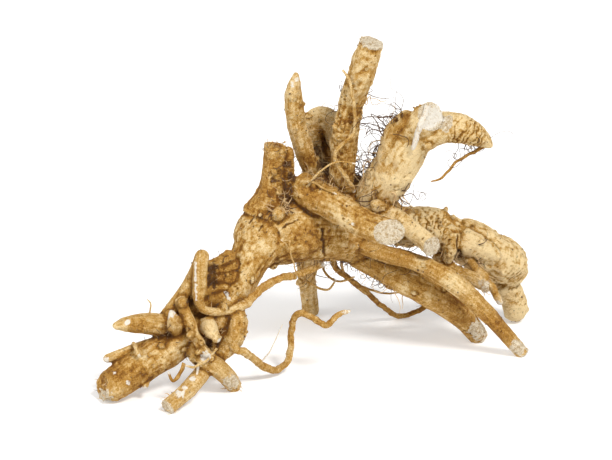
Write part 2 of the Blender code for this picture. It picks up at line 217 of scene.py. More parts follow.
# Wiry roots keep their own round tubes: (x, y, z, radius) along each, and its tone.
WIRY_ROOTS = {
    "loop_tail": ([
        (-57, -50, 61.4, 3.3), (-51, -47, 63.5, 3.6), (-44, -42, 69.5, 3.2), (-36, -34, 73, 3.1),
        (-26, -24, 74.5, 2.9), (-9, -7, 72, 2.8), (6, 6, 74, 2.6),
    ], 0.2),
    "thin_split": ([
        (114, 38, 68, 4), (120, 27, 63, 3.6), (128, 20, 57, 3.3), (134, 14, 50, 3),
        (139.5, 12, 40, 2.6),
    ], 0.5),
    "wiggle": ([
        (-66, -56, 40, 4), (-58, -64, 35, 3.2), (-49, -58, 27.2, 3), (-38, -46, 12.7, 2.9),
        (-29, -36, 5, 2.7), (-21, -30, 9.6, 2.6), (-18, -26, 19, 2.6), (-17.5, -24, 30, 2.6),
        (-16, -24, 41, 2.5), (-9, -26, 47, 2.5), (-1, -30, 44.4, 2.5), (7.5, -34, 41, 2.5),
        (14, -36, 46.8, 2.3), (20, -36, 51.7, 2), (26, -36, 53, 1.4),
    ], 0.3),
    "sling": ([
        (12, 24, 78, 3), (16, 30, 61, 2.4), (26, 36, 50, 2.3), (43, 52, 28, 2.1), (60, 70, 6, 2),
        (68, 76, 2.2, 2), (77, 76, 5, 2), (87, 74, 12.5, 2), (98, 66, 27, 2.2), (110, 56, 50, 2.6),
    ], -0.6),
    "low_wire": ([
        (42, 26, 64, 3), (52, 30, 49.6, 2.5), (79, 40, 30, 2.2), (94, 50, 15.6, 1.6),
    ], -0.8),
    "flap": ([
        (83, -3, 203, 2.4), (80, -9, 196, 2.3), (75.5, -9.5, 184, 2.1), (72.5, -8.5, 172, 1.9),
    ], 1),
    "finger_rootlet": ([
        (20.5, 8, 228, 0.8), (25, 5, 222, 1.2), (27.5, 4, 210, 1.3), (29.5, 5, 199, 1.3),
        (30, 6, 189, 1.3), (29, 6, 179, 1.3), (23.5, 5, 173, 1.4), (17, 4, 166, 1.5),
        (14.5, 3, 160.5, 1.6), (17, 3, 154, 1.6), (22, 4, 146, 1.6), (27, 6, 137.5, 1.7),
        (29, 10, 131, 1.5),
    ], 0.84),
    "beak_twig": ([
        (126, 12, 166, 1.6), (115, 10, 160.4, 1.3), (105, 8, 154.8, 1.2), (99, 6, 148.3, 1.1),
        (92.5, 4, 142.6, 0.9), (86.5, 2, 141.8, 0.5),
    ], -0.7),
    "arch_rootlet": ([
        (-19, -24, 105, 0.7), (-18, -24, 95, 0.6), (-15.5, -20, 84, 0.55), (-13, -16, 72, 0.4),
    ], 0.85),
    "arch_rootlet_side": ([(-18, -24, 96, 0.6), (-21, -25, 102, 0.5), (-25, -25, 106, 0.35)], 0.85),
    "wiggle_rootlet": ([
        (-40, -49, 17, 0.8), (-34, -46, 24, 0.6), (-29, -42, 33, 0.5), (-24, -40, 44, 0.35),
    ], 0.9),
    "vee_long": ([
        (-72, -75, 40, 0.9), (-79, -80, 33, 0.9), (-88, -84, 29, 0.9), (-95, -86, 31, 0.8),
    ], 0.8),
    "vee_short": ([
        (-96, -80, 30, 1.5), (-100, -84, 23, 1.5), (-105, -86, 18, 1.3), (-108, -85, 25, 1),
    ], 0.1),
    "vee_stalk": ([(-86, -80, 28, 1), (-87, -82, 21, 0.8)], 0.9),
    "toe_thorn": ([(-134, -66, 40, 1.6), (-132, -78, 42, 1.5), (-129, -82, 36, 1)], 0.84),
    "toe_sprig": ([(-122, -62, 62, 0.7), (-121, -62, 70, 0.6), (-124, -62, 74, 0.4)], 0.8),
    "nest_a": ([
        (-6, 20, 80, 1.1), (-9, 14, 62, 1), (0, 8, 55, 1), (10, 6, 53, 0.9), (16, 8, 60, 0.7),
    ], 0.5),
    "nest_b": ([(4, 18, 78, 1.1), (8, 12, 64, 1), (18, 10, 58, 0.9), (30, 14, 60, 0.8)], 0.3),
    "nest_c": ([
        (20, 20, 76, 1.2), (22, 26, 58, 1), (34, 32, 46, 1), (52, 40, 36, 0.8), (66, 48, 33, 0.5),
    ], -0.3),
    "nest_d": ([(-2, 22, 80, 1), (2, 20, 66, 0.9), (-4, 18, 52, 0.8), (-10, 20, 44, 0.5)], 0.2),
    "crown_rootlet": ([
        (-6, -8, 141, 0.9), (4, -4, 152, 0.8), (16, 0, 158, 0.7), (30, 2, 156, 0.5),
    ], 0.7),
    "crown_rootlet_low": ([
        (-10, -6, 145, 0.9), (-2, -10, 146, 0.8), (8, -12, 141, 0.7), (16, -14, 138, 0.5),
    ], 0.8),
}

# How each thick root looks, where it isn't the usual: its tone, from brown (-1) to cream (1), and
# how strongly it is ringed, folded lengthwise and knobbly.
USUAL_LOOK = (0.0, 0.45, 0.6, 0.7)
LOOKS = {
    "stock": (0, 0.2, 0.7, 1), "crown": (-0.2, 0.35, 0.8, 1), "left_foot": (-0.5, 0.3, 0.2, 1),
    "stub": (-0.95, 0.4, 0.8, 0.9), "stub_side": (-1.1, 0.8, 0.8, 1.6),
    "tall_finger": (0.3, 0.7, 0.6, 1.5), "left_finger": (0.1, 0.5, 0.6, 1.1),
    "hook": (0.5, 0.8, 0.5, 1.1), "hook_wall": (-1, 0.6, 0.5, 1), "beak": (1.35, 0.3, 0.6, 0.9),
    "shoulder": (0.8, 0.3, 0.4, 0.6), "sliced_shoulder": (0.9, 0.4, 0.4, 0.6),
    "big_right": (1.3, 0.5, 0.6, 1.5), "right_bump": (1.3, 0.5, 0.8, 2),
    "right_fold": (0.6, 0.6, 0.5, 1.2), "right_curl": (0, 0.9, 0.5, 1.4),
    "right_heel": (1.3, 0.5, 0.6, 1.4), "front_arm": (-0.35, 0.3, 0.7, 1.1),
    "second_arm": (0.85, 0.4, 0.7, 0.8), "long_arm": (-0.7, 0.3, 0.8, 0.6),
    # The low arm's dark tone is partly a painted shadow of the long arm above it.
    "low_arm": (-0.85, 0.25, 0.6, 0.7), "split_end": (0.1, 0.6, 0.6, 1),
    # The web roots' very dark tone is partly brown bark and partly painted shade of the hollow
    # between the loop and the trunk.
    "web_top": (-1.5, 0.4, 1, 1.4), "web_upper": (-1.6, 0.4, 1, 1.4),
    "web_middle": (-1.6, 0.4, 1, 1.4), "web_low": (-1, 0.4, 1, 1.4),
    "web_wall": (-1.6, 0.4, 1, 1.4), "stock_fill": (0, 0.2, 0.7, 1),
    "backing": (-1.2, 0.6, 0.6, 1.2), "backing_low": (-1.2, 0.6, 0.6, 1.2),
    "loop": (-0.5, 0.3, 0.8, 0.6), "red_knob": (-0.9, 0.3, 0.3, 1), "knee": (-0.3, 0.5, 0.5, 1.4),
    "ring_knob": (-0.5, 0.9, 0.3, 1), "pored_knob": (0.1, 0.4, 0.3, 1.2),
    "side_leg": (-0.2, 0.4, 0.8, 0.8), "front_leg": (-0.1, 0.4, 0.8, 0.7),
}

# Ends that are torn and not cut clean, with how deep the tear is.
TORN = {
    "left_foot": 1.3, "side_leg": 1.6, "split_end": 1.6, "stub": 1.2, "front_leg": 0.9,
    "tall_finger": 1.5, "long_arm": 1, "low_arm": 1.4, "second_arm": 0.7, "front_arm": 0.4,
}

# Cut ends that bark has grown over.
GROWN_OVER = {"left_foot", "side_leg", "stub"}

# Clusters of small knobs: (x, y, z), spread, how many, size, tone.
KNOB_CLUSTERS = [
    ((-96, -66, 60), 9, 16, 2.6, -0.7), ((-78, -70, 36), 9, 12, 2.4, -0.7),
    ((-62, -50, 52), 9, 10, 2.6, -0.2), ((20, 6, 132), 12, 14, 1.8, -0.5),
    ((24, 14, 180), 18, 30, 1.7, -0.3), ((34, 12, 222), 16, 22, 1.5, -0.2),
    ((70, 0, 190), 6, 9, 2.2, -1), ((60, -2, 125), 8, 9, 1.8, -0.3),
    ((-22, 0, 142), 9, 16, 2.2, -0.9), ((92, 26, 102), 12, 14, 2.6, 0.3),
    ((-14, 20, 190), 16, 14, 1.3, -0.2), ((-58, -40, 74), 9, 10, 2.2, 0.2),
    ((-4, 42, 150), 12, 12, 1.8, -0.5), ((106, 14, 66), 12, 10, 1.8, -0.5),
    ((0, 20, 100), 34, 26, 2.2, -0.2), ((60, 40, 80), 34, 20, 2.2, -0.1),
]

# Stretches of strong rings round a root: (x, y, z), size, spacing, depth.
RIDGED = [
    ((112, 8, 178), 16, 3.3, 1.7), ((88, 24, 99), 16, 3.8, 1.2), ((98, 26, 84), 9, 3, 0.8),
    ((150, 56, 48), 20, 4, 0.9), ((26, 14, 176), 22, 3.4, 0.4), ((-28, -2, 148), 12, 3, 0.4),
    ((60, -2, 116), 10, 2.6, 0.4), ((150, 66, 20), 12, 3, 0.4),
]

# Patches seen from the front, as (x, y, z, size). Bare ones are creamy, white ones are dried or
# peeled, porous ones are torn flesh, tanned ones are browner, and stained ones are dark: real
# stains, and two of them painted shade in the hollow of the web.
BARE = [
    (-146, -78, 57, 5), (75, 2, 150, 15), (60, 0, 138, 12), (22, -22, 117, 7), (102, -13, 64, 11),
    (78, -8, 82, 8), (-100, -76, 37, 12), (-125, -76, 32, 12), (-76, -60, 52, 9), (-52, -36, 66, 9),
    (118, 32, 78, 12), (138, 42, 62, 12), (154, 70, 12, 9), (85, 6, 47, 5), (-48, -30, 96, 8),
    (96, 0, 192, 6), (-50, -32, 82, 8), (-30, -2, 164, 4), (24, 6, 240, 6), (-40, -30, 104, 7),
    (16, -24, 124, 6), (68, 2, 55, 8), (72, 0, 164, 9), (132, 26, 72, 14), (120, 20, 72, 9),
    (-112, -80, 34, 10), (-66, -44, 62, 8), (-28, 46, 92, 14), (30, 58, 96, 16), (-60, 10, 60, 9),
    (112, 62, 84, 14), (8, 40, 60, 9), (66, 88, 70, 10),
]
WHITENED = [
    (88.7, -8, 199, 10), (84, -8, 192, 7), (-80, -77, 34, 5), (-105.5, -77, 69, 5),
    (-70, -75, 45, 3), (-154, -76, 31, 4), (-137.7, -86, 17.4, 2.6), (-137.7, -76, 61, 3),
    (-147.5, -86, 24.7, 1.6), (-99, -99, 14, 4), (28, -24, 118, 1.6), (-125, -83, 11, 2.6),
    (-13.5, 18, 217, 2.2), (-16.5, 18, 213, 2.4), (-90, -90, 22, 2.6), (-96, -96, 17, 2.4),
]
POROUS = [
    (124, 27, 11, 10), (153, 0, 8, 9), (-61, -64, 8, 7.5), (-155, -86, 5, 8),
    (130.7, 10, 53.5, 6.5), (126, 12, 56, 4),
]
TANNED = [
    (116, 8, 177, 14), (0, -16, 98, 18), (-16, -10, 90, 12), (-6, -2, 134, 10), (-5, 20, 150, 10),
    (22, 12, 150, 14), (26, 10, 190, 10), (140, -4, 28, 15), (108, 4, 176, 12), (114, 4, 181, 8),
    (121, 5, 172, 7), (-130, -70, 52, 9), (-130, -80, 22, 9), (-104, -68, 46, 8), (110, 20, 40, 9),
    (60, 4, 184, 9), (66, 0, 196, 6), (50, 6, 150, 5), (-150, -84, 22, 8), (-96, -66, 68, 8),
    (104, 26, 84, 8), (124, 26, 86, 7), (140, 40, 60, 7), (150, 60, 18, 4),
]
STAINS_AND_SHADE = [
    (0, 36, 152, 8), (6, 34, 142, 8), (-31, -2, 144, 3), (-27, -24, 118, 1.6), (-57, -42, 74, 1.2),
    (-61, -43, 72, 1.2), (-59, -43, 76, 1), (108, 26, 72, 4), (60, -6, 126, 1.8),
    (64, -2, 196, 2.6), (60, 4, 190, 2), (108, -2, 171, 1.6), (70, -4, 128, 2), (-20, 0, 156, 4),
    # The two patches at (-75, -44, 90) and (-76, -44, 80) are painted shade in the hollow of the
    # web.
    (-18, 0, 146, 4), (-78, -70, 42, 4), (-75, -44, 90, 6), (-76, -44, 80, 6), (-88, -76, 26, 3),
    (-92, -62, 72, 3), (-108, -72, 50, 3),
]

# Dark slits and white abraded streaks: from, to, half width.
SLITS = [
    ((-48.4, -24, 119), (-45.4, -22, 123.5), 0.35), ((-41, -25, 121.5), (-38, -25, 126), 0.35),
    ((-41.8, -27, 114), (-38.6, -27, 117.8), 0.3), ((-24, -20, 114), (-12, -18, 118.5), 0.45),
    ((6, -8, 107), (7.5, -6, 86), 1), ((107, 24, 90), (108, 24, 74), 0.7),
]
STREAKS = [
    ((-88, -58, 101), (-87.6, -62, 88), 0.8), ((-87.6, -62, 86), (-87, -64, 74), 0.7),
    ((-66, -47, 73), (-63, -45, 66), 0.9),
]

# Tufts of root hair: middle and size of the stretch of bark they grow from, how many, how long,
# and how dark (0 pale straw, 1 black-brown).
TUFTS = [
    ((32, 14, 166), (14, 14, 40), 50, 36, 0.8), ((52, 8, 166), (14, 14, 40), 70, 38, 0.8),
    ((0, 38, 150), (16, 16, 34), 50, 20, 0.5), ((14, 2, 140), (26, 14, 14), 60, 18, 0.35),
    ((-26, -14, 130), (7, 8, 8), 60, 11, 0.3), ((-24, 2, 150), (12, 10, 22), 50, 12, 0.75),
    ((118, 11, 164), (12, 8, 8), 14, 44, 0.9), ((24, 20, 66), (44, 22, 16), 170, 24, 0.6),
    ((60, 30, 60), (26, 16, 20), 60, 22, 0.7), ((98, 18, 74), (32, 18, 12), 110, 13, 0.4),
    ((-90, -66, 44), (26, 20, 22), 60, 8, 0.5), ((-120, -68, 42), (22, 16, 14), 36, 6, 0.5),
    ((64, 0, 118), (20, 14, 12), 40, 10, 0.5), ((-72, -40, 88), (12, 12, 12), 40, 7, 0.8),
    ((20, 40, 110), (60, 30, 30), 60, 12, 0.6), ((0, 60, 60), (60, 50, 50), 50, 8, 0.6),
    ((-60, -64, 6), (7, 7, 7), 16, 3, 0), ((-108, -102, 6), (7, 7, 7), 14, 2.5, 0),
    ((-156, -84, 8), (8, 10, 10), 10, 2.2, 0.1), ((130, 12, 52), (7, 7, 7), 36, 3.5, 0),
    ((-28, 6, 168), (9, 9, 5), 40, 3, 0.5),
]

# ---- noise


def hashed(cells, seed):
    """A number from 0 to 1 for each integer lattice point."""
    x, y, z = cells.T
    mixed = x * 73856093 ^ y * 19349663 ^ z * 83492791 ^ seed * 2654435
    mixed = (mixed ^ (mixed >> 13)) * 1274126177 & 0xFFFFFFFF
    mixed = (mixed ^ (mixed >> 16)) * 668265263 & 0xFFFFFFFF
    return (mixed ^ (mixed >> 15)) / 0xFFFFFFFF


def noise(points, seed):
    """Smooth value noise from -1 to 1."""
    cells = np.floor(points).astype(np.int64)
    part = points - cells
    part = part * part * (3 - 2 * part)
    total = np.zeros(len(points))
    for corner in np.ndindex(2, 2, 2):
        weight = np.prod(np.where(corner, part, 1 - part), axis=1)
        total += weight * hashed(cells + corner, seed)
    return 2 * total - 1


def rough_noise(points, octaves, seed):
    """Noise with finer and fainter copies of itself added."""
    total = np.zeros(len(points))
    for octave in range(octaves):
        total += noise(points * 2**octave, seed + octave) / 2**octave
    return total / 1.6


def spots(points, share, seed):
    """For each point, how near it is to a scattered spot: 1 at its middle, 0 from half a cell away.

    Only the given share of the cells holds a spot.
    """
    cells = np.floor(points).astype(np.int64)
    best = np.zeros(len(points))
    for step in np.ndindex(3, 3, 3):
        cell = cells + np.array(step) - 1
        middle = cell + np.stack([hashed(cell, seed + axis) for axis in (1, 2, 3)], axis=1)
        gap = norm(points - middle, axis=1)
        best = np.maximum(best, np.where(hashed(cell, seed) < share, 1 - 2 * gap, 0))
    return best


def ramp(values, low, high):
    """0 below low, 1 above high, smooth between."""
    share = np.clip((values - low) / (high - low), 0, 1)
    return share * share * (3 - 2 * share)


# ---- centrelines and tubes


def smooth_line(points, step):
    """(x, y, z, radius) rows about one step apart on a Catmull-Rom curve through the points."""
    knots = np.array(points, float)
    knots = np.vstack([2 * knots[0] - knots[1], knots, 2 * knots[-1] - knots[-2]])
    rows = []
    for a, b, c, d in zip(knots, knots[1:], knots[2:], knots[3:]):
        count = max(2, round(norm((c - b)[:3]) / step))
        square, cube = 2 * a - 5 * b + 4 * c - d, 3 * b - a - 3 * c + d
        for t in np.arange(count) / count:
            rows.append(0.5 * (2 * b + (c - a) * t + square * t**2 + cube * t**3))
    return np.array([*rows, knots[-2]])


def unit(vectors):
    return vectors / np.maximum(norm(vectors, axis=-1, keepdims=True), 1e-9)


class Line:
    """A root's centreline with a frame at each point that doesn't twist: tangent, side and top."""

    def __init__(self, points, step=LINE_STEP):
        rows = smooth_line(points, step)
        self.middle, self.radius = rows[:, :3], rows[:, 3]
        self.tangent = unit(np.gradient(self.middle, axis=0))
        lengths = norm(np.diff(self.middle, axis=0), axis=1)
        self.along = np.concatenate([[0], np.cumsum(lengths)])
        side = unit(np.cross(self.tangent[0], [0.3, 0.5, 0.8]))
        sides = []
        for tangent in self.tangent:
            side = unit(side - tangent * (side @ tangent))
            sides.append(side)
        self.side = np.array(sides)
        self.top = np.cross(self.tangent, self.side)

    def stretched(self, length, radii):
        """Points carried on past the end, with the given radii at equal steps."""
        steps = np.linspace(0, length, len(radii) + 1)[1:]
        ahead = self.middle[-1] + self.tangent[-1] * steps[:, None]
        self.middle = np.vstack([self.middle, ahead])
        self.radius = np.concatenate([self.radius, radii])
        self.along = np.concatenate([self.along, self.along[-1] + steps])
        for name in ("tangent", "side", "top"):
            rows = getattr(self, name)
            setattr(self, name, np.vstack([rows, np.repeat(rows[-1:], len(radii), axis=0)]))


def tube(line, around):
    """Rings of points along the line, and the faces of the closed tube through them."""
    turns = np.arange(around) * 2 * math.pi / around
    across, up = np.cos(turns)[None, :, None], np.sin(turns)[None, :, None]
    spokes = line.side[:, None] * across + line.top[:, None] * up
    points = line.middle[:, None] + spokes * line.radius[:, None, None]
    count = len(line.middle)
    ring = np.arange(count - 1)[:, None] * around
    first = ring + np.arange(around)
    second = ring + (np.arange(around) + 1) % around
    quads = np.stack([first, second, second + around, first + around], axis=-1).reshape(-1, 4)
    caps = [list(range(around))[::-1], list(range((count - 1) * around, count * around))]
    return points.reshape(-1, 3), quads.tolist() + caps


def rounded_tip(line):
    """Ends the line with a blunt tip."""
    shares = np.array([0.35, 0.6, 0.8, 0.93, 0.995])
    end = line.radius[-1]
    line.stretched(0.9 * end, end * np.sqrt(1 - shares**2))


def cut_plane(name, line):
    """A point of the plane that the root's line ends at, and the direction it faces."""
    facing = line.tangent[-1] if CUTS[name] == SQUARE else unit(np.array(CUTS[name], float))
    return line.middle[-1].copy(), facing


def thick_root(name):
    """One thick root as a closed mesh in millimetres, swollen here and there, and cut if it is."""
    line = Line(THICK_ROOTS[name])
    seed = sum(map(ord, name))
    if name in CUTS:
        origin, facing = cut_plane(name, line)
        line.stretched(2 * line.radius[-1], np.full(6, line.radius[-1]))
    else:
        rounded_tip(line)
    around = int(np.clip(2 * math.pi * line.radius.max() / FACE_WIDTH, 16, 96))
    verts, faces = tube(line, around)
    axis = np.repeat(line.middle, around, axis=0)
    knobbly = LOOKS.get(name, USUAL_LOOK)[3]
    swelling = 1 + 0.1 * knobbly * rough_noise(verts / (1.1 * line.radius.mean() + 3), 2, seed)
    verts = axis + (verts - axis) * swelling[:, None]
    if name in CUTS:
        tear = TORN.get(name, 0.25)
        past = (verts - origin) @ facing + tear * rough_noise(verts / 2.6, 2, seed)
        past = np.maximum(past, 0) / (line.tangent[-1] @ facing)
        verts = verts - past[:, None] * line.tangent[-1]
    return verts, faces


def joined(meshes):
    """The points and faces of several meshes as one."""
    points, faces, start = [], [], 0
    for some, their_faces in meshes:
        points.append(some)
        faces.extend([[i + start for i in face] for face in their_faces])
        start += len(some)
    return np.vstack(points), faces


# ---- the bark skin


def add_knobs():
    """Short roots that stick out as small knobs, in clusters on the surface of the others."""
    rng = np.random.default_rng(SEED)
    skeleton = Skeleton()
    for number, (middle, spread, count, size, tone) in enumerate(KNOB_CLUSTERS):
        aims = middle + spread * rng.normal(size=(count, 3))
        for k, (aim, sample) in enumerate(zip(aims, skeleton.nearest(aims)[0])):
            heart, radius = skeleton.middle[sample], skeleton.radius[sample]
            out = unit(aim - heart)
            girth = size * rng.uniform(0.55, 1.3)
            foot = heart + out * (radius - 1.2 * girth)
            tip = heart + out * (radius + girth * rng.uniform(-0.5, 0.3))
            tip = tip + 0.7 * girth * rng.normal(size=3)
            name = f"knob_{number}_{k}"
            THICK_ROOTS[name] = [(*foot, girth), (*tip, 0.8 * girth)]
            LOOKS[name] = (tone + rng.uniform(-0.4, 0.4), 0.3, 0.4, 1.2)


def placed(name, data):
    """A new object in the scene that holds the data."""
    made = bpy.data.objects.new(name, data)
    bpy.context.scene.collection.objects.link(made)
    return made


def mesh_object(name, points, faces, material=None):
    """A mesh object from points in millimetres of the tables' frame."""
    mesh = bpy.data.meshes.new(name)
    mesh.from_pydata((points - MIDDLE) * MM, [], faces)
    if material:
        mesh.materials.append(material)
    return placed(name, mesh)


def fused_skin():
    """All thick roots as one closed skin on a fine grid: its points and its four-sided faces."""
    raw = mesh_object("raw_bark", *joined(thick_root(name) for name in THICK_ROOTS))
    fuse = raw.modifiers.new("fuse", "REMESH")
    fuse.mode = "VOXEL"
    fuse.voxel_size = VOXEL * MM
    evaluated = raw.evaluated_get(bpy.context.evaluated_depsgraph_get())
    mesh = evaluated.to_mesh()
    found = np.empty(len(mesh.vertices) * 3, np.float32)
    mesh.vertices.foreach_get("co", found)
    corners = np.empty(len(mesh.loops), np.int32)
    mesh.loops.foreach_get("vertex_index", corners)
    evaluated.to_mesh_clear()
    bpy.data.objects.remove(raw)
    return found.reshape(-1, 3).astype(float) / MM + MIDDLE, corners.reshape(-1, 4)


def neighbours(quads):
    """The skin's edges, each once, as pairs of points."""
    ends = np.vstack([quads[:, [k, (k + 1) % 4]] for k in range(4)])
    return np.unique(np.sort(ends, axis=1), axis=0)


def smoothed(values, edges, weight, times=1):
    """Each row moved towards the mean of its neighbours by its weight, a number of times."""
    count = np.bincount(edges.ravel(), minlength=len(values))
    for _ in range(times):
        total = np.empty_like(values)
        for axis in range(values.shape[1]):
            sums = np.bincount(edges[:, 0], values[edges[:, 1], axis], len(values))
            sums += np.bincount(edges[:, 1], values[edges[:, 0], axis], len(values))
            total[:, axis] = sums / np.maximum(count, 1)
        values = values + (total - values) * weight
    return values


def normals_of(points, quads):
    a, b, c, d = (points[quads[:, corner]] for corner in range(4))
    across = np.cross(c - a, d - b)
    total = np.zeros_like(points)
    for corner in range(4):
        for axis in range(3):
            total[:, axis] += np.bincount(quads[:, corner], across[:, axis], len(points))
    return unit(total)


class Skeleton:
    """Every thick root's centreline in one table, to ask which root a point belongs to."""

    def __init__(self):
        self.names = list(THICK_ROOTS)
        lines = [Line(THICK_ROOTS[name]) for name in self.names]
        self.root = np.repeat(np.arange(len(lines)), [len(line.middle) for line in lines])
        for part in ("middle", "radius", "tangent", "side", "top", "along"):
            setattr(self, part, np.concatenate([getattr(line, part) for line in lines]))

    def nearest(self, points):
        """For each point its centreline sample, and how much further the next root's bark is."""
        sample = np.empty(len(points), int)
        margin = np.empty(len(points))
        middle = self.middle[None].astype(np.float32)
        for start in range(0, len(points), CHUNK):
            some = points[start : start + CHUNK]
            gaps = norm(some[:, None].astype(np.float32) - middle, axis=2)
            gaps -= self.radius[None]
            best = gaps.argmin(axis=1)
            own = gaps[np.arange(len(some)), best]
            gaps[self.root[None] == self.root[best][:, None]] = FAR
            sample[start : start + CHUNK] = best
            margin[start : start + CHUNK] = gaps.min(axis=1) - own
        return sample, margin

    def grain(self, points, sample):
        """The points with their root straightened: how far along it, and across its two sides."""
        off = points - self.middle[sample]
        axes = (self.tangent, self.side, self.top)
        grain = np.stack([(off * axis[sample]).sum(axis=1) for axis in axes], axis=1)
        grain[:, 0] += self.along[sample]
        return grain


def patch_mask(points, patches, seed, low=0.0, high=0.5):
    """How deep each point lies in one of the patches, which have ragged rims."""
    mask = np.zeros(len(points))
    ragged = rough_noise(points / 2.4, 3, seed)
    for x, y, z, size in patches:
        off = points - (x, y, z)
        depth = off @ TOWARDS_VIEWER
        gap = np.sqrt(np.maximum((off**2).sum(axis=1) - depth**2, 0))
        inside = 1 - gap / size + 0.5 * ragged
        mask = np.maximum(mask, (np.abs(depth) < PATCH_DEPTH) * ramp(inside, low, high))
    return mask


def line_mask(points, lines):
    """1 on the lines, which run from end to end as the viewer sees them and wander sideways."""
    mask = np.zeros(len(points))
    wander = 0.9 * noise(points / 4.5, SEED + 50) + 0.5 * noise(points / 1.6, SEED + 51)
    swell = 0.3 * noise(points / 2.2, SEED + 52)
    for start, end, width in lines:
        start, end = np.array(start, float), np.array(end, float)
        off = points - start
        depth = (points - (start + end) / 2) @ TOWARDS_VIEWER
        run = (end - start) - ((end - start) @ TOWARDS_VIEWER) * TOWARDS_VIEWER
        length = norm(run)
        along, lateral = off @ run / length, off @ np.cross(TOWARDS_VIEWER, run / length)
        past = np.maximum(np.maximum(-along, along - length), 0)
        gap = np.hypot(past, lateral + wander) + swell
        inside = 1 - ramp(gap, 0.5 * width, width + 0.5)
        mask = np.maximum(mask, (np.abs(depth) < SLIT_DEPTH) * inside)
    return mask


def ridges(points, grain):
    """The strong rings: their relief in mm, and 1 in their sharp valleys."""
    relief, seams = np.zeros(len(points)), np.zeros(len(points))
    wander = 1.2 * rough_noise(points / 8, 3, SEED + 60)
    wander += 0.35 * noise(points / 2.6, SEED + 61)
    break_up = ramp(rough_noise(points / 5, 2, SEED + 70), -0.5, 0.3)
    for middle, size, spacing, depth in RIDGED:
        share = ramp(1.25 - norm(points - middle, axis=1) / size, 0, 0.6)
        wave = np.abs(np.sin(np.pi * (grain[:, 0] / spacing + wander))) ** 0.7
        relief += share * depth * (0.4 + 0.6 * break_up) * (wave - 0.6)
        seams = np.maximum(seams, share * break_up * ramp(0.5 - wave, 0, 0.35) * min(depth, 1))
    return relief, seams


def cut_mask(points):
    """1 on the cut and torn ends, with ragged rims."""
    mask = np.zeros(len(points))
    ragged = rough_noise(points / 1.8, 2, SEED)
    for name in CUTS:
        if name in GROWN_OVER:
            continue
        line = Line(THICK_ROOTS[name])
        origin, facing = cut_plane(name, line)
        off = points - origin
        depth = off @ facing
        reach = 0.9 + TORN.get(name, 0.1) * (0.9 + 1.2 * ragged)
        near = norm(off, axis=1) < 1.6 * line.radius[-1] + 1
        mask = np.maximum(mask, near * ramp(depth, -reach - 0.5, -reach + 0.4))
    return mask


def valleys(values, width):
    """1 on the lines where the noise changes sign, 0 away from them."""
    return 1 - ramp(np.abs(values), 0, width)


